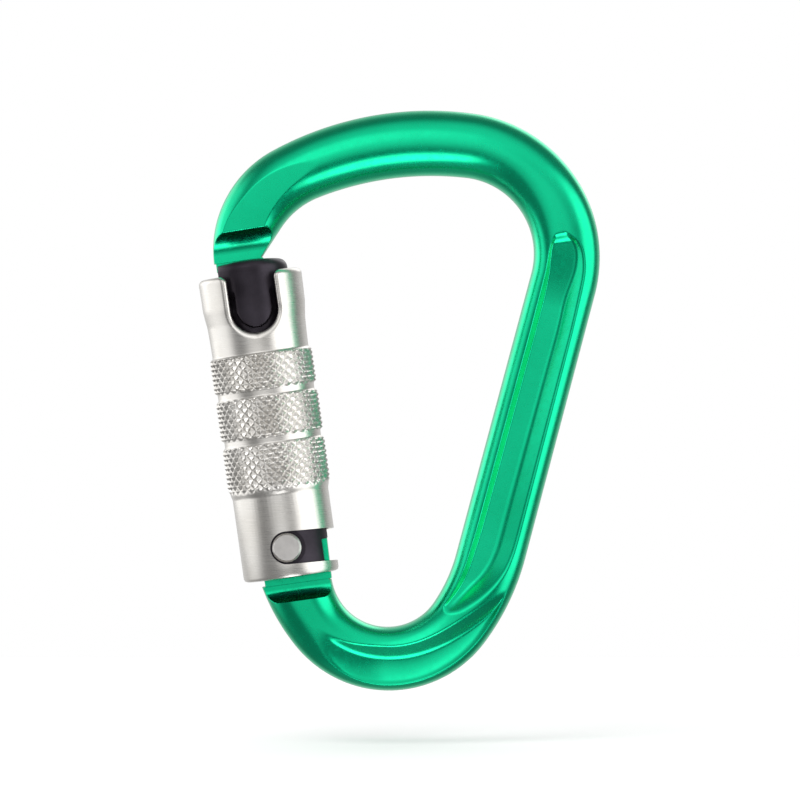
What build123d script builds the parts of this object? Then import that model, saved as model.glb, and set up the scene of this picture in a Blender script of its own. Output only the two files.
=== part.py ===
from build123d import *
import os
from math import cos, radians, sin, sqrt

# Pear-shaped locking carabiner. X runs from the gate side to the spine side, Z runs up from the
# narrow bowl to the wide basket, and Y runs across the bar. The plane Y = 0 is its mid-plane and
# the origin is the inner top of the wide basket, where the load hangs. Sizes are in millimetres.

# Forged frame
half_depth = 6.0  # of the bar, across the plane of the carabiner
edge_radius = 5.0  # rounding of the bar's four long edges
outer_start, outer_heading = (-43.1, -16.6), 96.6
inner_start, inner_heading = (-34.2, -15.8), 56.6
# Each outline is a run of tangent moves: (radius, degrees of right turn), or (0, straight length).
outer_moves = [(21.5, 67.9), (62.2, 36.6), (27.6, 96.9), (0, 51.8), (46.4, 22.1), (22.7, 104.6), (41.2, 26.4)]
inner_moves = [(0, 7.1), (15.1, 35.1), (58.5, 27.9), (14.5, 98.6), (0, 55.1), (30.2, 19.3), (10.7, 136.6)]

# Hinge and gate axis
hinge_x, hinge_z = -29.1, -70.4
gate_lean = 8.0  # degrees that the gate axis leans from the vertical, towards the outside
shank_radius = 2.0
shank_end = 7.8  # how far the shank reaches behind the mid-plane
hinge_clearance = 0.05
head_radius = 2.75
head_seat = 7.3  # distance from the mid-plane to the face under the rivet's head
head_top = 8.9

# Tongue, the frame's flat plate at the hinge, in gate coordinates (lateral, height above the hinge)
tongue_half = 2.6
tongue_top = 4.2
tongue_outer_radius = 5.3
tongue_inner_edge = 7.6
tongue_shoulder = 0.9
mill_base = -10.3  # where the milled flat at the hinge begins
mill_radius = 1.75
bar_foot = -9.0  # height where the full bar ends

# Nose, the frame's flat plate at the free end
nose_half = 2.2
nose_reach = 54.95  # radius of the nose's end face about the hinge
nose_mill_start = 56.4
nose_mill_radius = 4.4
nose_bar_end = 58.5  # height above the hinge where the full bar ends
key_half = 1.5  # half thickness of the key that enters the gate's head
key_reach = 53.6
key_outer, key_inner = -6.0, 3.0

# Spine recess and bowl channel
web_half = 3.4
recess_inset = 2.9
recess_draft = 14
recess_tip = (22.4, -10.5)
recess_inner_top, recess_inner_foot = (14, -20), (-4, -76)
recess_foot = (0, -86)
recess_outer_foot, recess_outer_top = (16, -78), (32, -20)
channel_half = 5.1
channel_inset = 2.6
channel_corners = [(-36, -83), (-20, -80), (2, -88), (0, -100), (-40, -100)]

# Gate
fork_gap = 0.1  # each side of the tongue
fork_top = 6.6
gate_foot = -4.9
lower_radius, lower_top = 8.14, 11.5  # lower bearing of the sleeve
waist_radius = 7.0
upper_radius, upper_bottom, upper_top = 7.64, 37.6, 40.2  # upper bearing of the sleeve
neck_radius = 6.4
head_bar_radius, head_bottom = 7.3, 49.0
gate_reach = 54.75  # radius of the gate's domed end about the hinge
head_flat = -5.8  # flat on the outer side of the head
spotface_radius = 3.5
ear_relief = 6.6
key_slot_half = 1.7
key_slot_floor = 53.3
key_slot_end = 3.25

# Gate spring and plunger
bore_offset = 2.4
bore_radius, bore_top = 2.15, 26.0
plunger_radius = 2.1
plunger_foot, plunger_shoulder, plunger_tip = 4.25, 12.6, 18.0
plunger_pin_radius = 1.2
gate_coil_radius, gate_wire, gate_coil_turns = 1.7, 0.7, 9
cam_rate = 3.2  # plunger travel per radian of gate swing
gate_swing = 33.0  # degrees

# Sleeve
skirt_radius, band_radius, groove_radius = 9.15, 9.8, 9.2
neck_outer, rim_outer = 9.25, 9.85
sleeve_foot, sleeve_rim = -5.7, 52.2
bands = [(12.3, 19.6), (21.6, 28.6), (30.6, 36.7)]
taper_foot = 10.1
lower_bore, upper_bore, mouth_bore = 8.2, 7.7, 8.4
spring_stop = 36.6
mouth_bottom = 46.0
notch_radius, notch_centre, notch_floor = 4.45, 0.15, 40.9
slot_half, slot_drop, sleeve_turn = 3.1, 0.75, 90.0
slot_overrun = 21.0  # degrees from the centre of a rivet head to the end of its slot
skirt_cut_from, skirt_cut_to, skirt_cut_top = -8.5, 128.0, 2.0

# Sleeve spring
sleeve_coil_radius, sleeve_wire = 7.7, 0.54
sleeve_coil_foot, sleeve_coil_top, sleeve_coil_turns = 11.85, 36.25, 8

lean = radians(gate_lean)
lateral = Vector(cos(lean), 0, sin(lean))
upward = Vector(-sin(lean), 0, cos(lean))
hinge = Vector(hinge_x, 0, hinge_z)
gate_frame = Plane(origin=hinge, x_dir=lateral, z_dir=upward)
gate_side = Plane(origin=hinge, x_dir=lateral, z_dir=(0, -1, 0))
gate_section = Plane(origin=hinge, x_dir=(0, 1, 0), z_dir=lateral)
gate_axis = Axis(hinge, upward)


def at_gate(side, height):
    """Point on the plan plane from its place beside and above the hinge."""
    point = hinge + lateral * side + upward * height
    return (point.X, point.Z)


def trace(start, heading, moves):
    """Draws tangent arcs and straight runs end to end, and returns the last point."""
    point = Vector(*start)
    direction = Vector(cos(radians(heading)), sin(radians(heading)))
    for radius, amount in moves:
        if radius:
            run = JernArc(start=point, tangent=direction, radius=radius, arc_size=-amount)
        else:
            run = Line(point, point + direction * amount)
        point, direction = run @ 1, run % 1
    return point


def cam_point(swing):
    """Point of the tongue's cam under the flat plunger once the gate has swung by that many degrees."""
    turn = radians(swing)
    height = tongue_top + cam_rate * turn
    return (cam_rate * cos(turn) + height * sin(turn), height * cos(turn) - cam_rate * sin(turn))


def radial_plane(angle):
    """Plane through the gate axis: x outwards at that angle from the inner side, y up the axis."""
    outward = lateral * cos(radians(angle)) + Vector(0, 1, 0) * sin(radians(angle))
    return Plane(origin=hinge, x_dir=outward, z_dir=outward.cross(upward))


def patch(*corners):
    """Corners, given beside and above the hinge, as points of the plan plane."""
    return [at_gate(side, height) for side, height in corners]


# Plan of the bar: round the outside from the nose to the tongue, and back along the inside
with BuildSketch(Plane.XZ) as plan:
    with BuildLine():
        outer_end = trace(outer_start, outer_heading, outer_moves)
        inner_end = trace(inner_start, inner_heading, inner_moves)
        Line(inner_start, outer_start)
        Line(inner_end, outer_end)
    make_face()

# Forged frame
with BuildPart() as frame_body:
    # Bar of full depth, which stops short of the nose and the tongue
    with BuildSketch(Plane.XZ):
        add(plan.sketch)
        with BuildLine():
            Polyline(*patch((-12, 40), (12, 40), (12, nose_bar_end), (-12, nose_bar_end)), close=True)
        make_face(mode=Mode.SUBTRACT)
        with BuildLine():
            Polyline(*patch((-12, bar_foot), (10.5, bar_foot), (10.5, 10), (-12, 10)), close=True)
        make_face(mode=Mode.SUBTRACT)
    extrude(amount=half_depth, both=True)
    rim_edges = frame_body.faces().filter_by(Axis.Y).edges()
    long_edges = [e for e in rim_edges if abs((e % 0.5).dot(lateral)) < 0.99 or e.length > 20]
    fillet(long_edges, radius=edge_radius)

    # Flat of the nose, ending in a face concentric with the hinge
    with BuildSketch(Plane.XZ):
        add(plan.sketch)
        with BuildLine():
            Polyline(*patch((-12, 50), (12, 50), (12, nose_bar_end + 1), (-12, nose_bar_end + 1)), close=True)
        make_face(mode=Mode.INTERSECT)
        with Locations((hinge_x, hinge_z)):
            Circle(nose_reach, mode=Mode.SUBTRACT)
    extrude(amount=nose_half + 0.5, both=True)

    # Key of the nose, which the gate's head closes on
    with BuildSketch(Plane.XZ):
        with Locations((hinge_x, hinge_z)):
            Circle(nose_reach + 1)
            Circle(key_reach, mode=Mode.SUBTRACT)
        with BuildLine():
            Polyline(*patch((key_outer, 50), (key_inner, 50), (key_inner, 60), (key_outer, 60)), close=True)
        make_face(mode=Mode.INTERSECT)
    extrude(amount=key_half, both=True)

    # Tongue at the hinge, with the cam that lifts the plunger
    cam_start = (cam_rate, tongue_top)
    cam_middle, cam_end = cam_point(gate_swing / 2), cam_point(gate_swing)
    crown = -sqrt(tongue_outer_radius**2 - tongue_top**2)
    with BuildSketch(Plane.XZ):
        with BuildLine():
            Polyline(*patch(cam_end, (tongue_inner_edge, tongue_shoulder), (tongue_inner_edge - 0.2, -8.5),
                            (6, -12), (-3, -12), (-5.2, -8), (-tongue_outer_radius, 0)))
            ThreePointArc(at_gate(-tongue_outer_radius, 0), at_gate(-4.9, 2.02), at_gate(crown, tongue_top))
            Line(at_gate(crown, tongue_top), at_gate(*cam_start))
            ThreePointArc(at_gate(*cam_start), at_gate(*cam_middle), at_gate(*cam_end))
        make_face()
    extrude(amount=tongue_half, both=True)

    # Milled steps that thin the bar down to the nose and to the tongue
    with BuildSketch(gate_section):
        with BuildLine():
            step_top = nose_mill_start + nose_mill_radius
            Polyline((nose_half, nose_mill_start), (nose_half, 50), (9, 50), (9, step_top),
                     (nose_half + nose_mill_radius, step_top))
            JernArc((nose_half, nose_mill_start), (0, 1), nose_mill_radius, -90)
        make_face()
        mirror(about=Plane.YZ)
    extrude(amount=14, both=True, mode=Mode.SUBTRACT)
    with BuildSketch(gate_section):
        with BuildLine():
            wall = tongue_half + mill_radius
            Polyline((tongue_half, mill_base + mill_radius), (tongue_half, 10), (9, 10), (9, mill_base),
                     (wall, mill_base))
            JernArc((tongue_half, mill_base + mill_radius), (0, -1), mill_radius, 90)
        make_face()
        mirror(about=Plane.YZ)
    extrude(amount=10.5, both=True, mode=Mode.SUBTRACT)

    # Bore of the tongue for the rivet
    with BuildSketch(Plane.XZ):
        with Locations((hinge_x, hinge_z)):
            Circle(shank_radius + hinge_clearance)
    extrude(amount=half_depth, both=True, mode=Mode.SUBTRACT)

    # Recess down each side of the spine, which leaves a web between two flanges
    for side in (1, -1):
        with BuildSketch(Plane.XZ.offset(side * half_depth)):
            offset(plan.sketch, amount=-recess_inset)
            with BuildLine():
                Polyline(recess_tip, recess_inner_top, recess_inner_foot, recess_foot, recess_outer_foot,
                         recess_outer_top, close=True)
            make_face(mode=Mode.INTERSECT)
        extrude(amount=-side * (half_depth - web_half), taper=recess_draft, mode=Mode.SUBTRACT)

    # Shallow channel round the bowl
    for side in (1, -1):
        with BuildSketch(Plane.XZ.offset(side * half_depth)):
            offset(plan.sketch, amount=-channel_inset)
            with BuildLine():
                Polyline(*channel_corners, close=True)
            make_face(mode=Mode.INTERSECT)
        extrude(amount=-side * (half_depth - channel_half), mode=Mode.SUBTRACT)
frame_body.part.label = "frame_body"

# Gate: a stepped round bar, forked at the foot and slotted at the head
with BuildPart() as gate:
    with BuildSketch(gate_side):
        with BuildLine():
            Polyline((0, gate_foot), (lower_radius, gate_foot), (lower_radius, lower_top - 0.4),
                     (lower_radius - 0.4, lower_top), (waist_radius, lower_top),
                     (waist_radius, upper_bottom), (upper_radius, upper_bottom), (upper_radius, upper_top),
                     (neck_radius, upper_top + 0.8), (neck_radius, head_bottom - 1.2),
                     (head_bar_radius, head_bottom), (head_bar_radius, 60), (0, 60), close=True)
        make_face()
    revolve(axis=gate_axis)

    # Domed end, concentric with the hinge, and the flat on the outer side of the head
    with BuildSketch(Plane.XZ):
        with Locations((hinge_x, hinge_z)):
            Circle(80)
            Circle(gate_reach, mode=Mode.SUBTRACT)
    extrude(amount=12, both=True, mode=Mode.SUBTRACT)
    with BuildSketch(gate_side):
        with BuildLine():
            Polyline((head_flat, 46.5), (head_flat, 60), (-12, 60), (-12, 46.5), close=True)
        make_face()
    extrude(amount=12, both=True, mode=Mode.SUBTRACT)

    # Slot of the head for the key of the nose
    with BuildSketch(Plane.XZ):
        with Locations((hinge_x, hinge_z)):
            Circle(70)
            Circle(key_slot_floor, mode=Mode.SUBTRACT)
        with BuildLine():
            Polyline(*patch((-12, 50), (key_slot_end, 50), (key_slot_end, 60), (-12, 60)), close=True)
        make_face(mode=Mode.INTERSECT)
    extrude(amount=key_slot_half, both=True, mode=Mode.SUBTRACT)

    # Fork round the tongue, with its ears cut back on the inner side
    with BuildSketch(gate_side):
        with BuildLine():
            Polyline((-12, -8), (12, -8), (12, fork_top), (-12, fork_top), close=True)
        make_face()
    extrude(amount=tongue_half + fork_gap, both=True, mode=Mode.SUBTRACT)
    with BuildSketch(gate_side):
        with BuildLine():
            Polyline((ear_relief, -8), (12, -8), (12, 0.6), (ear_relief, 0.6), close=True)
        make_face()
    extrude(amount=12, both=True, mode=Mode.SUBTRACT)

    # Bore for the rivet and the spotface under its head
    with BuildSketch(Plane.XZ):
        with Locations((hinge_x, hinge_z)):
            Circle(shank_radius)
    extrude(amount=12, both=True, mode=Mode.SUBTRACT)
    with BuildSketch(Plane.XZ.offset(head_seat)):
        with Locations((hinge_x, hinge_z)):
            Circle(spotface_radius)
    extrude(amount=3, mode=Mode.SUBTRACT)

    # Bore for the plunger and its spring
    with BuildSketch(gate_frame.offset(fork_top - 1)):
        with Locations((bore_offset, 0)):
            Circle(bore_radius)
    extrude(amount=bore_top - fork_top + 1, mode=Mode.SUBTRACT)
gate.part.label = "gate"

# Hinge rivet: a head in front, and a shank pressed into both ears of the gate
with BuildPart() as hinge_rivet:
    with BuildSketch(Plane(origin=hinge, x_dir=(1, 0, 0), z_dir=(0, 0, -1))):
        with BuildLine():
            Polyline((0, -shank_end), (shank_radius - 0.3, -shank_end), (shank_radius, 0.3 - shank_end),
                     (shank_radius, head_seat), (head_radius, head_seat), (head_radius, head_top - 0.35),
                     (head_radius - 0.35, head_top), (0, head_top), close=True)
        make_face()
    revolve(axis=Axis(hinge, (0, 1, 0)))
hinge_rivet.part.label = "hinge_rivet"

# Gate plunger: flat foot on the cam, and a pin up inside the spring
with BuildPart() as gate_plunger:
    plunger_plane = Plane(origin=hinge + lateral * bore_offset, x_dir=lateral, z_dir=(0, -1, 0))
    with BuildSketch(plunger_plane):
        with BuildLine():
            Polyline((0, plunger_foot), (plunger_radius - 0.3, plunger_foot),
                     (plunger_radius, plunger_foot + 0.3), (plunger_radius, plunger_shoulder),
                     (plunger_pin_radius, plunger_shoulder),
                     (plunger_pin_radius, plunger_tip - 0.4), (plunger_pin_radius - 0.4, plunger_tip),
                     (0, plunger_tip), close=True)
        make_face()
    revolve(axis=Axis(hinge + lateral * bore_offset, upward))
gate_plunger.part.label = "gate_plunger"


# Gate spring
with BuildPart() as gate_spring:
    with BuildLine() as gate_coil:
        coil_height = bore_top - plunger_shoulder - gate_wire
        Helix(pitch=coil_height / gate_coil_turns, height=coil_height, radius=gate_coil_radius,
              center=hinge + lateral * bore_offset + upward * (plunger_shoulder + gate_wire / 2),
              direction=upward)
    with BuildSketch(Plane(origin=gate_coil.line @ 0, z_dir=gate_coil.line % 0)):
        Circle(gate_wire / 2)
    sweep(is_frenet=True)
gate_spring.part.label = "gate_spring"

# Sleeve spring
with BuildPart() as sleeve_spring:
    with BuildLine() as sleeve_coil:
        coil_height = sleeve_coil_top - sleeve_coil_foot
        Helix(pitch=coil_height / sleeve_coil_turns, height=coil_height, radius=sleeve_coil_radius,
              center=hinge + upward * sleeve_coil_foot, direction=upward)
    with BuildSketch(Plane(origin=sleeve_coil.line @ 0, z_dir=sleeve_coil.line % 0)):
        Circle(sleeve_wire / 2)
    sweep(is_frenet=True)
sleeve_spring.part.label = "sleeve_spring"

# Lock sleeve: a turned tube with three raised bands
with BuildPart() as lock_sleeve:
    with BuildSketch(gate_side):
        with BuildLine():
            outer = [(skirt_radius - 0.7, sleeve_foot), (skirt_radius - 0.2, sleeve_foot + 0.2),
                     (skirt_radius, sleeve_foot + 0.7),
                     (skirt_radius, taper_foot)]
            for foot, top in bands:
                outer += [(band_radius, foot), (band_radius, top), (groove_radius, top + 0.35),
                          (groove_radius, top + 1.6)]
            outer += [(neck_outer, 39.5), (rim_outer, 46), (rim_outer, sleeve_rim - 0.6),
                      (rim_outer - 0.6, sleeve_rim)]
            inner = [(mouth_bore, sleeve_rim), (mouth_bore, mouth_bottom), (upper_bore, mouth_bottom - 1),
                     (upper_bore, spring_stop), (lower_bore, spring_stop), (lower_bore, sleeve_foot)]
            Polyline(*outer, *inner, close=True)
        make_face()
    revolve(axis=gate_axis)

    # Notch in the rim, open to the front
    with BuildSketch(gate_side):
        with BuildLine():
            left, right = notch_centre - notch_radius, notch_centre + notch_radius
            height = notch_floor + notch_radius
            Polyline((left, height), (left, 60), (right, 60), (right, height))
            ThreePointArc((left, height), (notch_centre, notch_floor), (right, height))
        make_face()
    extrude(amount=14, mode=Mode.SUBTRACT)

    # Cam slot for the rivet's head: a quarter turn from the front to the inner side, dropping as it goes
    for step in range(9):
        turned = (sleeve_turn + slot_overrun) * step / 8
        with BuildSketch(radial_plane(turned - 90)):
            with Locations(((lower_bore + rim_outer) / 2, -slot_drop * turned / sleeve_turn)):
                Rectangle(4, 2 * slot_half)
    loft(ruled=True, mode=Mode.SUBTRACT)
    with BuildSketch(Plane.XZ):
        with Locations((hinge_x, hinge_z)):
            Circle(slot_half)
    extrude(amount=14, mode=Mode.SUBTRACT)

    # Relief at the foot, which lets the tongue swing out of the sleeve
    with BuildSketch(radial_plane(skirt_cut_from)):
        with Locations(((lower_bore + rim_outer) / 2, (skirt_cut_top - 8) / 2)):
            Rectangle(4, skirt_cut_top + 8)
    revolve(axis=gate_axis, revolution_arc=skirt_cut_to - skirt_cut_from, mode=Mode.SUBTRACT)
lock_sleeve.part.label = "lock_sleeve"

os.makedirs("parts", exist_ok=True)
for piece in (frame_body, gate, hinge_rivet, gate_plunger, gate_spring, sleeve_spring, lock_sleeve):
    export_step(piece.part, f"parts/{piece.part.label}.step")
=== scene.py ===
import math

import bmesh
import bpy
import numpy as np
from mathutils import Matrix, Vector


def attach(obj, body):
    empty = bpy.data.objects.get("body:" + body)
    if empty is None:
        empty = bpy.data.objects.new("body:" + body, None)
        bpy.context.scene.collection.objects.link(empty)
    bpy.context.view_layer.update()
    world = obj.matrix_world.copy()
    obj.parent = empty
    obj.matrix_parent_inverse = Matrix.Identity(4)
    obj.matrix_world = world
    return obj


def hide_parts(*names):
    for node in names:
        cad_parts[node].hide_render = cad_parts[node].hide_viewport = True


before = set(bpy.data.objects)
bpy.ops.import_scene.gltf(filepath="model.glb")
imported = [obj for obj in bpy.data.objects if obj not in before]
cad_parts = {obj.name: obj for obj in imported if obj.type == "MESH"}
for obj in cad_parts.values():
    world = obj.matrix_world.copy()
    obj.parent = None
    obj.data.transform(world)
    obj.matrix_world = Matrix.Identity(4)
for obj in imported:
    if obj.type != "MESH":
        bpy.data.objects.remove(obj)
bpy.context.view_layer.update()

MM = 0.001

# ---------------------------------------------------------------- driving values, in mm, as in the CAD part
HINGE = np.array([-29.1, -70.4])
LEAN = math.radians(8.0)
LATERAL = np.array([math.cos(LEAN), math.sin(LEAN)])
UPWARD = np.array([-math.sin(LEAN), math.cos(LEAN)])
HALF_DEPTH, EDGE_RADIUS = 6.0, 5.0
OUTER_START, OUTER_HEADING = (-43.1, -16.6), 96.6
INNER_START, INNER_HEADING = (-34.2, -15.8), 56.6
OUTER_MOVES = [(21.5, 67.9), (62.2, 36.6), (27.6, 96.9), (0, 51.8), (46.4, 22.1), (22.7, 104.6), (41.2, 26.4)]
INNER_MOVES = [(0, 7.1), (15.1, 35.1), (58.5, 27.9), (14.5, 98.6), (0, 55.1), (30.2, 19.3), (10.7, 136.6)]
NOSE_HALF, NOSE_REACH, NOSE_MILL_START, NOSE_MILL_RADIUS = 2.2, 54.95, 56.4, 4.4
TONGUE_HALF, MILL_BASE, MILL_HEIGHT, MILL_DEPTH = 2.6, -10.3, 2.5, 3.1
WEB_HALF = 3.4
GATE_REACH, NECK_BAR_RADIUS, HEAD_RADIUS, HEAD_FLAT = 54.75, 6.4, 7.3, -5.8
KEY_SLOT_HALF, KEY_SLOT_FLOOR, KEY_SLOT_END = 1.7, 53.3, 3.25

RIM_RADIUS, RIM_TOP = 9.85, 52.2
NECK_RADIUS, GROOVE_RADIUS, BAND_RADIUS, SKIRT_RADIUS = 9.25, 9.2, 9.8, 9.15
BANDS = [(12.3, 19.6), (21.6, 28.6), (30.6, 36.7)]
TAPER_FOOT = 10.1
LOWER_BORE, UPPER_BORE, MOUTH_BORE = 8.2, 7.7, 8.4
SPRING_STOP, MOUTH_BOTTOM = 36.6, 46.0
NOTCH_RADIUS, NOTCH_CENTRE, NOTCH_FLOOR, NOTCH_LIP = 4.45, 0.15, 40.9, 1.15


def gate_to_world(side, depth, height):
    """Metres in the CAD frame from mm beside, behind and above the hinge; works on arrays."""
    x = HINGE[0] + side * LATERAL[0] + height * UPWARD[0]
    z = HINGE[1] + side * LATERAL[1] + height * UPWARD[1]
    return np.stack([x, depth, z], axis=-1) * MM


# ---------------------------------------------------------------- plan of the bar
def walk(start, heading, moves, step=0.05, lead=1.5):
    """Points along a chain of tangent arcs and straight runs, with a short straight lead before it."""
    turn_now = math.radians(heading)
    first = np.array(start, float) - lead * np.array([math.cos(turn_now), math.sin(turn_now)])
    points = [first]
    for radius, amount in [(0, lead)] + moves:
        length = amount if radius == 0 else radius * math.radians(amount)
        count = max(2, int(length / step))
        turn = 0.0 if radius == 0 else -math.radians(amount) / count
        reach = length / count if radius == 0 else 2 * radius * math.sin(abs(turn) / 2)
        for _ in range(count):
            turn_now += turn / 2
            points.append(points[-1] + reach * np.array([math.cos(turn_now), math.sin(turn_now)]))
            turn_now += turn / 2
    return np.array(points)


def stations():
    """Pairs of outer and inner points across the bar, and the run along its middle, zero at the nose."""
    outer = walk(OUTER_START, OUTER_HEADING, OUTER_MOVES)
    inner = walk(INNER_START, INNER_HEADING, INNER_MOVES)
    picks = np.arange(0, len(outer), 6)
    near = np.array([((inner - outer[k]) ** 2).sum(1).argmin() for k in picks], float)
    near = np.maximum.accumulate(near)
    # The nearest inner point jumps at tight bends, so it is averaged over a few neighbours
    window = 27
    padded = np.concatenate([np.full(window // 2, near[0]), near, np.full(window // 2, near[-1])])
    near = np.convolve(padded, np.ones(window) / window, "valid")
    across = np.stack([np.interp(near, np.arange(len(inner)), inner[:, i]) for i in (0, 1)], 1)
    outside = outer[picks]
    middle = (outside + across) / 2
    run = np.concatenate([[0], np.cumsum(np.linalg.norm(np.diff(middle, axis=0), axis=1))])
    return outside, across, run - 1.0


def blend_min(a, b, k):
    """The smaller of two depths, with the edge where they cross rounded over about k."""
    h = np.clip(0.5 + 0.5 * (b - a) / k, 0, 1)
    return b * (1 - h) + a * h - k * h * (1 - h)


def blend_max(a, b, k):
    """The larger of two depths, rounded in the same way."""
    return -blend_min(-a, -b, k)


def ramp(value, low, high):
    """0 below low, 1 above high, and a soft rise between."""
    t = np.clip((value - low) / (high - low), 0, 1)
    return t * t * (3 - 2 * t)


# Lines along the bar, as (run from the nose, distance from the inner edge). The recess of the spine has its
# inner wall, its floor's outer edge and the crest of its slope; the channel of the bowl has its two walls.
RECESS_INNER = [(70, 5.6), (80.3, 5.0), (82.5, 3.3), (87, 2.45), (100, 2.6), (140, 2.5), (158, 1.6),
                (166, 0.6)]
RECESS_FLOOR = [(70, 4.0), (80.3, 4.6), (83, 6.1), (86.7, 6.8), (99, 7.55), (133, 7.2), (143.7, 7.2),
                (147.2, 6.4), (151.5, 4.55), (155.3, 2.45), (158, 0.8), (168, -3.0)]
RECESS_CREST = [(70, 5.0), (80.3, 5.0), (81.5, 6.6), (83, 7.95), (86.5, 9.2), (98.7, 10.0), (136, 10.45),
                (141.2, 10.5), (144.9, 10.1), (147.9, 8.95), (151.5, 7.05), (155.6, 4.8), (159.6, 2.6),
                (168, -0.5)]
CHANNEL_INNER = [(140, 15.0), (148.8, 10.75), (153.3, 8.4), (158.7, 5.8), (162, 4.7), (166.2, 3.9),
                 (172, 3.4), (178, 3.3), (186, 3.4), (194, 3.6)]
CHANNEL_OUTER = [(140, 10.0), (148.8, 10.7), (150.9, 11.2), (156, 11.4), (164, 10.75), (170, 10.75),
                 (182, 10.7), (187, 10.75), (194, 10.9)]
RECESS_SPAN, CHANNEL_SPAN, FACET_SPAN = (76, 168), (141, 192.5), (7.3, 25.3)
FACET_DROP = 0.95
UNCUT = 9.0  # beyond the bar's half depth, so it leaves the bar as it is


def smooth_line(knots, run):
    """The line through the knots, with its corners eased over about 2 mm."""
    xs, ys = zip(*knots)
    offsets = np.linspace(-2.4, 2.4, 13)
    return sum(np.interp(run + d, xs, ys) for d in offsets) / len(offsets)


def trough(w, start, end, tops, steepness, floor):
    """A long hollow: a sloping wall at each side, and a floor."""
    inner_wall = tops[0] + (start - w) * steepness[0]
    outer_wall = tops[1] + (w - end) * steepness[1]
    return blend_max(blend_max(inner_wall, outer_wall, 0.35), floor + 0 * w, 0.45)


def half_section(run, w, width):
    """Half depth of the bar at each point of the plan."""
    edge = np.minimum(w, width - w)
    filleted = np.where(edge < EDGE_RADIUS,
                        HALF_DEPTH - EDGE_RADIUS + np.sqrt(np.clip(
                            EDGE_RADIUS**2 - (EDGE_RADIUS - np.clip(edge, 0, EDGE_RADIUS))**2, 0, None)),
                        HALF_DEPTH)
    u = np.clip(np.abs(2 * w / width - 1), 0, 1)
    # The bar is nearly round at the wide top and squarer down the spine
    n = 2.05 + 0.75 * ramp(run, 62, 84)
    forged = HALF_DEPTH * (1 - u**n) ** (1 / n)
    ends = np.maximum(1 - ramp(run, 3, 12), ramp(run, 184, 192))
    y = filleted * ends + forged * (1 - ends)

    # Recess of the spine, deep on the inner side and sloping up to the outer flange
    inner, floor, crest = (smooth_line(k, run) for k in (RECESS_INNER, RECESS_FLOOR, RECESS_CREST))
    slope = np.clip(crest - floor, 1.3, None)
    web = WEB_HALF + 1.8 * (1 - ramp(run, 80, 96)) + 2.0 * ramp(run, 150, 162)
    fade = 5.0 * (1 - ramp(run, 76.5, 83.5)) + 5.0 * ramp(run, 156, 167)
    recess = trough(w, inner, crest, (5.5, 5.45), (2.3, (5.45 - WEB_HALF) / slope), web) + fade
    recess = np.where((run > RECESS_SPAN[0]) & (run < RECESS_SPAN[1]), recess, UNCUT)
    y = blend_min(y, recess, 0.5)

    # Channel of the bowl
    start, end = smooth_line(CHANNEL_INNER, run), smooth_line(CHANNEL_OUTER, run)
    dish = 0.6 * np.clip((2 * w - start - end) / np.clip(end - start, 1, None), -1, 1) ** 2
    channel = trough(w, start, end, (5.75, 4.7), (0.8, 0.9), 3.85 + dish) + 2.6 * ramp(run, 175, 192)
    channel = np.where((run > CHANNEL_SPAN[0]) & (run < CHANNEL_SPAN[1]), channel, UNCUT)
    y = blend_min(y, channel, 0.35)

    # Flat on the side of the nose, which runs out towards the top bow
    facet = HALF_DEPTH - FACET_DROP * (FACET_SPAN[1] - run) / (FACET_SPAN[1] - FACET_SPAN[0])
    y = np.where(run < 26, blend_min(y, facet, 0.06), y)
    return np.clip(y, 0, None)


def grid_faces(rows, columns):
    """Quads over rows of points, each row closed on itself."""
    r = np.arange(rows - 1)[:, None]
    c = np.arange(columns)[None, :]
    after = (c + 1) % columns
    a = r * columns + c
    b = r * columns + after
    return np.stack([a, b, b + columns, a + columns], -1).reshape(-1, 4)


def frame_mesh():
    """Skin of the whole bar: a ring of points at each station, closer together towards its two edges."""
    outside, inside, run = stations()
    count = 130
    angles = np.linspace(0, math.pi, count)
    share = (1 - np.cos(angles)) / 2
    share = 0.35 * share + 0.65 * np.linspace(0, 1, count)
    span = outside - inside
    width = np.linalg.norm(span, axis=1)[:, None]
    spots = inside[:, None, :] + span[:, None, :] * share[None, :, None]
    w = share[None, :] * width
    y = half_section(np.broadcast_to(run[:, None], w.shape), w, width)
    front = np.concatenate([spots, -y[..., None]], -1)
    back = np.concatenate([spots, y[..., None]], -1)[:, ::-1]
    ring = np.concatenate([front, back], 1)
    points = np.stack([ring[..., 0], ring[..., 2], ring[..., 1]], -1) * MM
    return points.reshape(-1, 3), grid_faces(ring.shape[0], ring.shape[1])


def new_mesh(name, points, faces):
    mesh = bpy.data.meshes.new(name)
    mesh.from_pydata([tuple(map(float, p)) for p in points], [], [tuple(map(int, f)) for f in faces])
    mesh.update()
    return mesh


def bare_copy(node):
    """A bmesh of a CAD node with its seams merged."""
    bm = bmesh.new()
    bm.from_mesh(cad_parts[node].data)
    bmesh.ops.remove_doubles(bm, verts=bm.verts, dist=2e-6)
    return bm


def cut(bm, point, normal, drop_beyond=False):
    """Cuts the mesh at a plane, and can drop what lies beyond it."""
    geometry = bm.verts[:] + bm.edges[:] + bm.faces[:]
    bmesh.ops.bisect_plane(bm, geom=geometry, dist=1e-8, plane_co=tuple(map(float, point)), plane_no=normal,
                           clear_outer=drop_beyond)


def cut_across(bm, height, drop_above=False):
    """Cuts across the gate's axis at a height in mm."""
    cut(bm, gate_to_world(0.0, 0.0, height), (float(UPWARD[0]), 0.0, float(UPWARD[1])), drop_above)


def fill_open(bm):
    bmesh.ops.holes_fill(bm, edges=[e for e in bm.edges if e.is_boundary], sides=0)


def add_to(bm, other):
    """Moves the faces of another bmesh into this one."""
    extra = bpy.data.meshes.new("extra")
    other.to_mesh(extra)
    other.free()
    bm.from_mesh(extra)


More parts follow.
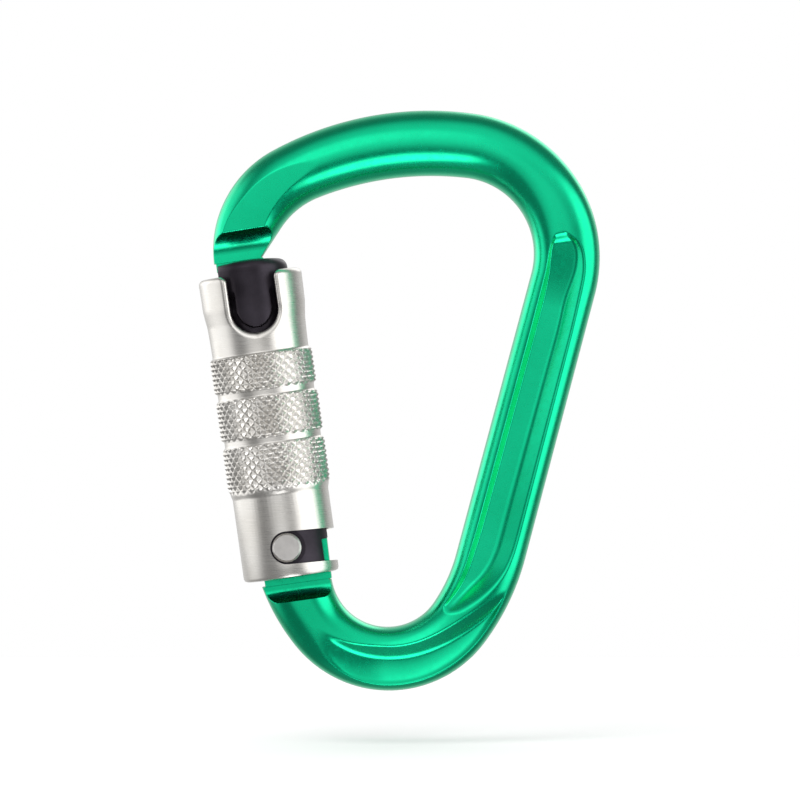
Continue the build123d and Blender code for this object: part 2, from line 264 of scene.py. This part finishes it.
def place(vert):
    """Side and height of a vertex in the gate's frame, in mm."""
    spot = np.array([vert.co.x, vert.co.z]) / MM - HINGE
    return float(spot @ LATERAL), float(spot @ UPWARD)


def finish_mesh(bm, name, sharp_degrees):
    """Turns the bmesh into an object whose edges stay crisp above the angle."""
    bmesh.ops.recalc_face_normals(bm, faces=bm.faces)
    for face in bm.faces:
        face.smooth = True
    limit = math.radians(sharp_degrees)
    for edge in bm.edges:
        edge.smooth = not (len(edge.link_faces) == 2 and edge.calc_face_angle(0.0) > limit)
    mesh = bpy.data.meshes.new(name)
    bm.to_mesh(mesh)
    bm.free()
    obj = bpy.data.objects.new(name, mesh)
    bpy.context.scene.collection.objects.link(obj)
    return obj


def milled_half(up):
    """Half thickness left by the milled steps at the nose and at the tongue."""
    if up > 30:
        rise = min(max(up - NOSE_MILL_START, 0), NOSE_MILL_RADIUS)
        return NOSE_HALF + NOSE_MILL_RADIUS - math.sqrt(NOSE_MILL_RADIUS**2 - rise**2)
    if up < MILL_BASE + 0.005:
        return HALF_DEPTH
    fall = min(max((MILL_BASE + MILL_HEIGHT - up) / MILL_HEIGHT, 0), 1)
    return TONGUE_HALF + MILL_DEPTH * (1 - math.sqrt(1 - fall**2))


GATE_SIDE = 12  # everything nearer the gate's axis than this is nose or hinge, not spine
TONGUE_TOP = -7.0
SEAM = 0.05  # the CAD ends reach this far into the skin


def build_frame():
    """The forged bar as one skin, with the milled nose key and tongue taken from the CAD shape."""
    bm = bmesh.new()
    bm.from_mesh(new_mesh("bar_skin", *frame_mesh()))
    # Rows of edges for the milled steps to follow
    cuts = [NOSE_MILL_START, NOSE_MILL_START + NOSE_MILL_RADIUS, MILL_BASE, MILL_BASE + 0.01]
    cuts += [NOSE_MILL_START + 0.55 * k for k in range(1, 8)] + [MILL_BASE + 0.25 * k for k in range(1, 11)]
    for height in cuts:
        cut_across(bm, height)
    for v in bm.verts:
        side, up = place(v)
        if side < GATE_SIDE and (up < 2 or NOSE_REACH - 3 < up < NOSE_MILL_START + NOSE_MILL_RADIUS):
            left = milled_half(up) * MM
            v.co.y = min(max(v.co.y, -left), left)

    # The skin is opened between the hinge and the nose
    cut_across(bm, NOSE_REACH)
    cut_across(bm, TONGUE_TOP)
    in_gap = [v for v in bm.verts
              if place(v)[0] < GATE_SIDE and TONGUE_TOP + 0.0001 < place(v)[1] < NOSE_REACH - 0.0001]
    bmesh.ops.delete(bm, geom=in_gap, context="VERTS")
    fill_open(bm)

    ends = bare_copy("frame_body")
    cut_across(ends, NOSE_REACH + 0.02)
    cut_across(ends, TONGUE_TOP - SEAM)
    unwanted = []
    for v in ends.verts:
        side, up = place(v)
        key = -9 < side < 6 and 50 < up < NOSE_REACH + 0.021
        tongue = -9 < side < 9.5 and TONGUE_TOP - SEAM - 0.001 < up < 10
        if not (key or tongue):
            unwanted.append(v)
    bmesh.ops.delete(ends, geom=unwanted, context="VERTS")
    fill_open(ends)
    add_to(bm, ends)
    return finish_mesh(bm, "forged_bar", 40)


# ---------------------------------------------------------------- lock sleeve
def sleeve_outside(z):
    """Radius of the turned tube, before the knurl."""
    xs, rs = [TAPER_FOOT - 9, TAPER_FOOT], [SKIRT_RADIUS, SKIRT_RADIUS]
    for foot, top in BANDS:
        xs += [foot, top, top + 0.35, top + 1.6]
        rs += [BAND_RADIUS, BAND_RADIUS, GROOVE_RADIUS, GROOVE_RADIUS]
    xs += [40.5, 43.0, 46.0, RIM_TOP]
    rs += [NECK_RADIUS, NECK_RADIUS + 0.1, RIM_RADIUS - 0.1, RIM_RADIUS]
    parts = [np.interp(z + d, xs, rs) for d in (-0.15, -0.05, 0.05, 0.15)]
    return sum(parts) / 4


def sleeve_inside(z):
    return np.interp(z, [0, SPRING_STOP, SPRING_STOP + 0.05, MOUTH_BOTTOM - 1, MOUTH_BOTTOM, RIM_TOP],
                     [LOWER_BORE, LOWER_BORE, UPPER_BORE, UPPER_BORE, MOUTH_BORE, MOUTH_BORE])


def notch_half(z, wider=0.0):
    """Half width of the notch at a height, for a copy of it that is wider all round."""
    centre, radius, corner = NOTCH_FLOOR + NOTCH_RADIUS, NOTCH_RADIUS + wider, 1.3
    if z <= centre - radius:
        return 0.0
    if z < centre:
        return math.sqrt(max(radius**2 - (centre - z) ** 2, 0.0))
    if z < RIM_TOP - corner:
        return radius
    return radius + corner - math.sqrt(max(corner**2 - (z - RIM_TOP + corner) ** 2, 0.0))


KNURL_DEPTH, KNURL_COUNT, KNURL_PITCH = 0.5, 32, 1.8


def knurl(angle, z):
    """Depth below the crests of the diamond pattern, 0 at a crest and 1 at a groove."""
    around = angle / (2 * math.pi) * KNURL_COUNT
    u, v = around + z / KNURL_PITCH, around - z / KNURL_PITCH
    du = 1 - 2 * np.abs(u - np.floor(u) - 0.5)
    dv = 1 - 2 * np.abs(v - np.floor(v) - 0.5)
    crest = np.clip(np.minimum(du, dv) / 0.82, 0, 1)
    return 1 - crest


def build_sleeve():
    """The turned tube in rings of points, with its knurl and notch, on the CAD skirt with its slot."""
    # Heights of the rings: close together over the knurl, the notch's floor and its corners
    low = np.arange(TAPER_FOOT - 0.1, 37.6, 0.13)
    floor_of_lip = NOTCH_FLOOR - NOTCH_LIP
    neck = np.arange(37.7, floor_of_lip - 0.05, 0.35)
    lip_arc = floor_of_lip + NOTCH_LIP * (1 - np.cos(np.linspace(0, math.pi / 2, 9)[:-1]))
    arc = NOTCH_FLOOR + NOTCH_RADIUS * (1 - np.cos(np.linspace(0, math.pi / 2, 26)))
    side = np.arange(NOTCH_FLOOR + NOTCH_RADIUS + 0.5, RIM_TOP - 1.35, 0.5)
    corner = RIM_TOP - 1.3 + 1.298 * np.sin(np.linspace(0, math.pi / 2, 20))
    heights = np.concatenate([low, neck, lip_arc, arc, side, corner])
    bare_rows = len(low) + len(neck) + 1
    columns, edge, outer_lip, inner_lip = 460, 8, 1.0, 0.35
    share = np.linspace(0, 1, columns)
    rows = []
    for z in map(float, heights):
        outer, inner = float(sleeve_outside(z)), float(sleeve_inside(z))
        over = max(0.0, z - (RIM_TOP - outer_lip))
        outer -= outer_lip - math.sqrt(outer_lip**2 - over**2)
        over = max(0.0, z - (RIM_TOP - inner_lip))
        inner += inner_lip - math.sqrt(inner_lip**2 - over**2)
        lip = min(NOTCH_LIP, outer - inner - 0.02)

        def spot_at(side_sign, t):
            """Point on the wall of the notch, from the outer surface (0) to the bore (1)."""
            turn = min(t * 1.25, 1.0) * math.pi / 2
            half = notch_half(z, NOTCH_LIP * (1 - math.sin(turn)))
            rounded = outer - lip * (1 - math.cos(turn))
            radius = rounded + (inner - rounded) * max(0.0, (t - 0.8) / 0.2)
            x = NOTCH_CENTRE + side_sign * half
            return math.asin(x / radius), radius

        start, end = spot_at(1, 0)[0], 2 * math.pi + spot_at(-1, 0)[0]
        angles = start + (end - start) * share
        weight = ramp(z, 10.7, 12.4) * (1 - ramp(z, 36.45, 36.85))
        for foot, top in BANDS[:-1]:
            weight *= 1 - ramp(z, top - 0.1, top + 0.3) * (1 - ramp(z, top + 1.5, top + 2.0))
        radii = outer - KNURL_DEPTH * weight * knurl(angles, z)
        ring = [(r * math.sin(t), -r * math.cos(t)) for r, t in zip(radii, angles)]
        walls = []
        for sign in (-1, 1):
            wall = [spot_at(sign, i / edge) for i in range(1, edge + 1)]
            walls.append([(r * math.sin(t), -r * math.cos(t)) for t, r in wall])
        start, end = spot_at(1, 1)[0], 2 * math.pi + spot_at(-1, 1)[0]
        bore = [(inner * math.sin(t), -inner * math.cos(t)) for t in end + (start - end) * share]
        rows.append(ring + walls[0] + bore + walls[1][::-1])
    loops = np.array(rows)
    total = loops.shape[1]
    points = gate_to_world(loops[..., 0], loops[..., 1], heights[:, None] * np.ones(total)[None, :])
    faces = grid_faces(len(heights), total).reshape(len(heights) - 1, total, 4)
    keep = np.ones(faces.shape[:2], bool)
    skip = list(range(columns - 1, columns + edge)) + list(range(2 * columns + edge - 1, total))
    keep[: bare_rows - 1, skip] = False
    faces = faces[keep]
    bm = bmesh.new()
    bm.from_mesh(new_mesh("tube", points.reshape(-1, 3), faces))
    bmesh.ops.remove_doubles(bm, verts=bm.verts, dist=1.5e-6)
    # Below the notch the two ends of each ring meet; the faces between them have no width
    slit = [f for f in bm.faces
            if all(abs(place(v)[0] - NOTCH_CENTRE) < 0.002 and v.co.y < 0 for v in f.verts)]
    bmesh.ops.delete(bm, geom=slit, context="FACES_ONLY")
    top = [e for e in bm.edges if e.is_boundary and min(place(v)[1] for v in e.verts) > RIM_TOP - 0.2]
    bmesh.ops.holes_fill(bm, edges=top, sides=0)

    skirt = bare_copy("lock_sleeve")
    cut_across(skirt, TAPER_FOOT - 0.05, drop_above=True)
    add_to(bm, skirt)
    return finish_mesh(bm, "turned_sleeve", 38)


# ---------------------------------------------------------------- gate
def build_gate():
    """The CAD gate up to the neck, and above it the head with eased corners and its raised tab."""
    seam, flare, tab_radius = 39.9, 48.4, 3.85
    heights = np.concatenate([np.arange(seam, GATE_REACH - 2.1, 0.22), [GATE_REACH - 2.1]])
    angles = np.linspace(0, 2 * math.pi, 241)[:-1]
    tab_centre = NOTCH_FLOOR + 1.0 + tab_radius
    rows = []
    for z in map(float, heights):
        body = NECK_BAR_RADIUS + (HEAD_RADIUS - NECK_BAR_RADIUS) * ramp(z, flare - 1.2, flare + 1.0)
        half = math.sqrt(max(tab_radius**2 - max(tab_centre - z, 0.0) ** 2, 0.0))
        across = np.abs(HEAD_RADIUS * np.sin(angles) - NOTCH_CENTRE)
        tab = ramp(half - across, 0.0, 0.55) * (np.cos(angles) > 0)
        radii = body + (HEAD_RADIUS - 0.05 - body) * tab
        rows.append(np.stack([radii * np.sin(angles), -radii * np.cos(angles), np.full_like(angles, z)], -1))
    corner = 1.5
    crown = np.concatenate([HEAD_RADIUS - corner + corner * np.cos(np.linspace(0, math.pi / 2, 9)),
                            np.linspace(HEAD_RADIUS - corner, 0.15, 22)[1:]])
    for radius in map(float, crown):
        side, depth = radius * np.sin(angles), -radius * np.cos(angles)
        round_off = corner - math.sqrt(corner**2 - max(radius - HEAD_RADIUS + corner, 0.0) ** 2)
        top = np.sqrt(GATE_REACH**2 - side**2) - round_off
        rows.append(np.stack([side, depth, top], -1))
    rows = np.array(rows)
    rows[..., 0] = np.maximum(rows[..., 0], HEAD_FLAT)
    points = gate_to_world(rows[..., 0], rows[..., 1], rows[..., 2])
    bm = bmesh.new()
    bm.from_mesh(new_mesh("head", points.reshape(-1, 3), grid_faces(len(rows), len(angles))))
    fill_open(bm)

    # Slot of the head for the key of the nose; the paired cuts keep its walls upright
    for gap in (0.0, 0.02):
        for sign in (-1, 1):
            cut(bm, gate_to_world(0.0, sign * (KEY_SLOT_HALF - gap), 50.0), (0.0, 1.0, 0.0))
        cut(bm, gate_to_world(KEY_SLOT_END - gap, 0.0, 50.0), (float(LATERAL[0]), 0.0, float(LATERAL[1])))
    for v in bm.verts:
        side, up = place(v)
        if abs(v.co.y) < (KEY_SLOT_HALF - 0.01) * MM and side < KEY_SLOT_END - 0.01:
            floor_now = math.sqrt(KEY_SLOT_FLOOR**2 - side**2)
            if up > floor_now:
                v.co = Vector(gate_to_world(side, v.co.y / MM, floor_now))
    stem = bare_copy("gate")
    cut_across(stem, seam + 0.1, drop_above=True)
    add_to(bm, stem)
    return finish_mesh(bm, "gate_bar", 38)


# ---------------------------------------------------------------- materials
def material(name, base, metallic, roughness):
    mat = bpy.data.materials.new(name)
    mat.use_nodes = True
    nodes, links = mat.node_tree.nodes, mat.node_tree.links
    shader = nodes["Principled BSDF"]
    shader.inputs["Base Color"].default_value = (*base, 1)
    shader.inputs["Metallic"].default_value = metallic
    shader.inputs["Roughness"].default_value = roughness
    return mat, nodes, links, shader


def position(nodes, links, scale):
    """Place on the piece, turned to the gate's lean; a small scale stretches the pattern that way."""
    spot = nodes.new("ShaderNodeTexCoord")
    mapping = nodes.new("ShaderNodeMapping")
    mapping.inputs["Rotation"].default_value = (0, LEAN, 0)
    mapping.inputs["Scale"].default_value = scale
    links.new(spot.outputs["Object"], mapping.inputs["Vector"])
    return mapping.outputs["Vector"]


def noise(nodes, links, vector, scale, detail=3.0, rough=0.5):
    tex = nodes.new("ShaderNodeTexNoise")
    tex.inputs["Scale"].default_value = scale
    tex.inputs["Detail"].default_value = detail
    tex.inputs["Roughness"].default_value = rough
    links.new(vector, tex.inputs["Vector"])
    return tex.outputs["Fac"]


def spread(nodes, links, value, low, high):
    """The middle of a noise, where most of it lies, stretched to a range."""
    node = nodes.new("ShaderNodeMapRange")
    node.inputs["From Min"].default_value = 0.3
    node.inputs["From Max"].default_value = 0.7
    node.inputs["To Min"].default_value = low
    node.inputs["To Max"].default_value = high
    links.new(value, node.inputs["Value"])
    return node.outputs["Result"]


def tint(nodes, links, value, dark, light):
    node = nodes.new("ShaderNodeMix")
    node.data_type = "RGBA"
    node.inputs["A"].default_value = (*dark, 1)
    node.inputs["B"].default_value = (*light, 1)
    links.new(value, node.inputs["Factor"])
    return node.outputs["Result"]


def bump(nodes, links, shader, value, strength, distance):
    node = nodes.new("ShaderNodeBump")
    node.inputs["Strength"].default_value = strength
    node.inputs["Distance"].default_value = distance
    links.new(value, node.inputs["Height"])
    links.new(node.outputs["Normal"], shader.inputs["Normal"])


def green_finish():
    mat, nodes, links, shader = material("green_anodised", (0.0, 0.66, 0.33), 1.0, 0.24)
    shader.inputs["Coat Weight"].default_value = 0.2
    shader.inputs["Coat Roughness"].default_value = 0.12
    shader.inputs["Coat IOR"].default_value = 1.5
    whole = position(nodes, links, (1, 1, 1))
    cloud = noise(nodes, links, whole, 60, 4)
    links.new(tint(nodes, links, spread(nodes, links, cloud, 0, 1), (0.0, 0.64, 0.30), (0.003, 0.74, 0.36)),
              shader.inputs["Base Color"])
    grain = noise(nodes, links, whole, 900, 5, 0.6)
    links.new(spread(nodes, links, grain, 0.21, 0.29), shader.inputs["Roughness"])
    bump(nodes, links, shader, noise(nodes, links, whole, 2600, 3), 0.05, 0.00003)
    return mat


def silver_finish():
    mat, nodes, links, shader = material("silver_anodised", (0.86, 0.84, 0.80), 1.0, 0.34)
    rings = position(nodes, links, (0.02, 0.02, 1))
    fine = noise(nodes, links, rings, 9000, 4, 0.65)
    whole = position(nodes, links, (1, 1, 1))
    cloud = noise(nodes, links, whole, 140, 4)
    links.new(tint(nodes, links, spread(nodes, links, cloud, 0, 1), (0.76, 0.735, 0.69), (0.86, 0.84, 0.805)),
              shader.inputs["Base Color"])
    links.new(spread(nodes, links, fine, 0.24, 0.36), shader.inputs["Roughness"])
    bump(nodes, links, shader, fine, 0.2, 0.00003)
    return mat


def black_finish():
    mat, nodes, links, shader = material("black_anodised", (0.03, 0.025, 0.035), 0.75, 0.36)
    whole = position(nodes, links, (1, 1, 1))
    cloud = noise(nodes, links, whole, 160, 4)
    patches = spread(nodes, links, cloud, 0, 1)
    links.new(tint(nodes, links, patches, (0.022, 0.018, 0.025), (0.045, 0.038, 0.05)),
              shader.inputs["Base Color"])
    rings = noise(nodes, links, position(nodes, links, (0.03, 0.03, 1)), 5000, 3)
    links.new(spread(nodes, links, rings, 0.3, 0.44), shader.inputs["Roughness"])
    bump(nodes, links, shader, rings, 0.25, 0.00003)
    return mat


def steel_finish(name, base, low, high, scale):
    mat, nodes, links, shader = material(name, base, 1.0, 0.35)
    whole = position(nodes, links, (1, 1, 1))
    cloud = noise(nodes, links, whole, scale, 4)
    links.new(spread(nodes, links, cloud, low, high), shader.inputs["Roughness"])
    darker = tuple(c * 0.8 for c in base)
    patches = spread(nodes, links, noise(nodes, links, whole, scale / 3), 0, 1)
    links.new(tint(nodes, links, patches, darker, base), shader.inputs["Base Color"])
    bump(nodes, links, shader, cloud, 0.2, 0.00004)
    return mat


GREEN, SILVER, BLACK = green_finish(), silver_finish(), black_finish()
RIVET = steel_finish("rivet_steel", (0.74, 0.72, 0.70), 0.3, 0.46, 1400)
SPRING = steel_finish("spring_steel", (0.42, 0.41, 0.40), 0.2, 0.34, 900)


def coat(obj, mat):
    obj.data.materials.clear()
    obj.data.materials.append(mat)
    for polygon in obj.data.polygons:
        polygon.material_index = 0


bar = build_frame()
coat(bar, GREEN)
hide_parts("frame_body")
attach(bar, "frame")

sleeve = build_sleeve()
coat(sleeve, SILVER)
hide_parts("lock_sleeve")
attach(sleeve, "sleeve")

gate = build_gate()
coat(gate, BLACK)
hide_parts("gate")
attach(gate, "gate")

for node, mat, name in (("hinge_rivet", RIVET, "rivet_steel"),
                        ("gate_plunger", RIVET, "rivet_steel"), ("gate_spring", SPRING, "spring_steel"),
                        ("sleeve_spring", SPRING, "spring_steel")):
    coat(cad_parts[node], mat)

# ---------------------------------------------------------------- floor, world, lights and camera
FLOOR = -0.108
corners = [(-0.4, -0.6, FLOOR), (0.4, -0.6, FLOOR), (0.4, 0.3, FLOOR), (-0.4, 0.3, FLOOR)]
floor = bpy.data.objects.new("floor", new_mesh("floor", corners, [(0, 1, 2, 3)]))
bpy.context.scene.collection.objects.link(floor)
floor.visible_glossy = False
coat(floor, material("floor_paint", (0.96, 0.96, 0.96), 0.0, 0.8)[0])

world = bpy.data.worlds.new("studio")
bpy.context.scene.world = world
world.use_nodes = True
world.node_tree.nodes["Background"].inputs["Color"].default_value = (1.0, 1.0, 1.0, 1)
world.node_tree.nodes["Background"].inputs["Strength"].default_value = 1.0

# Light tent, seen only in reflections, set for the bands of light on the bar.
# Each lobe is (direction, cosine at its edge, cosine at its full strength, light).
TENT_BASE = 0.22
TENT_LOBES = [
    ((0.0, -0.76, 0.65), 0.60, 1.00, 0.60),
    ((-0.22, -0.85, 0.48), 0.93, 0.99, 0.60),
    ((-0.20, -0.98, 0.02), 0.90, 0.985, 0.42),
    ((0.10, -0.66, -0.74), 0.945, 0.985, 2.50),
    ((0.0, -0.1, -1.0), 0.75, 0.98, 0.15),
    ((-0.97, 0.10, 0.10), 0.72, 0.94, 0.95),
    ((0.90, -0.44, 0.05), 0.78, 0.92, 1.45),
    ((0.0, 1.0, 0.0), 0.30, 0.90, 0.45),
    ((0.35, 0.80, 0.45), 0.92, 0.98, 0.90),
    ((-0.75, 0.62, 0.20), 0.90, 0.96, 0.60),
]
bm = bmesh.new()
bmesh.ops.create_icosphere(bm, subdivisions=5, radius=3.0)
tent_mesh = bpy.data.meshes.new("tent")
bm.to_mesh(tent_mesh)
bm.free()
tent = bpy.data.objects.new("tent", tent_mesh)
bpy.context.scene.collection.objects.link(tent)
tent.visible_camera = tent.visible_diffuse = tent.visible_shadow = tent.visible_transmission = False
tent_light = bpy.data.materials.new("tent_light")
tent_light.use_nodes = True
nodes, links = tent_light.node_tree.nodes, tent_light.node_tree.links
nodes.remove(nodes["Principled BSDF"])
spot = nodes.new("ShaderNodeTexCoord")
unit = nodes.new("ShaderNodeVectorMath")
unit.operation = "NORMALIZE"
links.new(spot.outputs["Object"], unit.inputs[0])
total = None
for axis, edge, full, light in TENT_LOBES:
    dot = nodes.new("ShaderNodeVectorMath")
    dot.operation = "DOT_PRODUCT"
    dot.inputs[1].default_value = Vector(axis).normalized()
    links.new(unit.outputs[0], dot.inputs[0])
    lobe = nodes.new("ShaderNodeMapRange")
    lobe.interpolation_type = "SMOOTHSTEP"
    lobe.inputs["From Min"].default_value = edge
    lobe.inputs["From Max"].default_value = full
    lobe.inputs["To Max"].default_value = light
    links.new(dot.outputs["Value"], lobe.inputs["Value"])
    add = nodes.new("ShaderNodeMath")
    add.operation = "ADD"
    links.new(lobe.outputs["Result"], add.inputs[0])
    if total is None:
        add.inputs[1].default_value = TENT_BASE
    else:
        links.new(total, add.inputs[1])
    total = add.outputs[0]
emission = nodes.new("ShaderNodeEmission")
links.new(total, emission.inputs["Strength"])
links.new(emission.outputs[0], nodes["Material Output"].inputs["Surface"])
coat(tent, tent_light)


def softbox(name, where, size, power, target=(-0.008, 0, -0.045)):
    """An area lamp turned towards the middle of the part."""
    data = bpy.data.lights.new(name, "AREA")
    data.shape = "RECTANGLE"
    data.size, data.size_y = size
    data.energy = power
    lamp = bpy.data.objects.new(name, data)
    lamp.location = where
    lamp.rotation_euler = (Vector(target) - Vector(where)).to_track_quat("-Z", "Y").to_euler()
    lamp.visible_camera = lamp.visible_glossy = False
    bpy.context.scene.collection.objects.link(lamp)


softbox("key_panel", (-0.35, -0.55, 0.75), (0.5, 0.5), 2.4)

data = bpy.data.cameras.new("camera")
data.lens, data.sensor_width = 213.2, 36
data.clip_start = 0.01
camera = bpy.data.objects.new("camera", data)
camera.location = (-0.00779, -0.9, -0.0426)
camera.rotation_euler = (math.radians(90), 0, 0)
bpy.context.scene.collection.objects.link(camera)
bpy.context.scene.camera = camera
bpy.context.scene.view_settings.view_transform = "Standard"
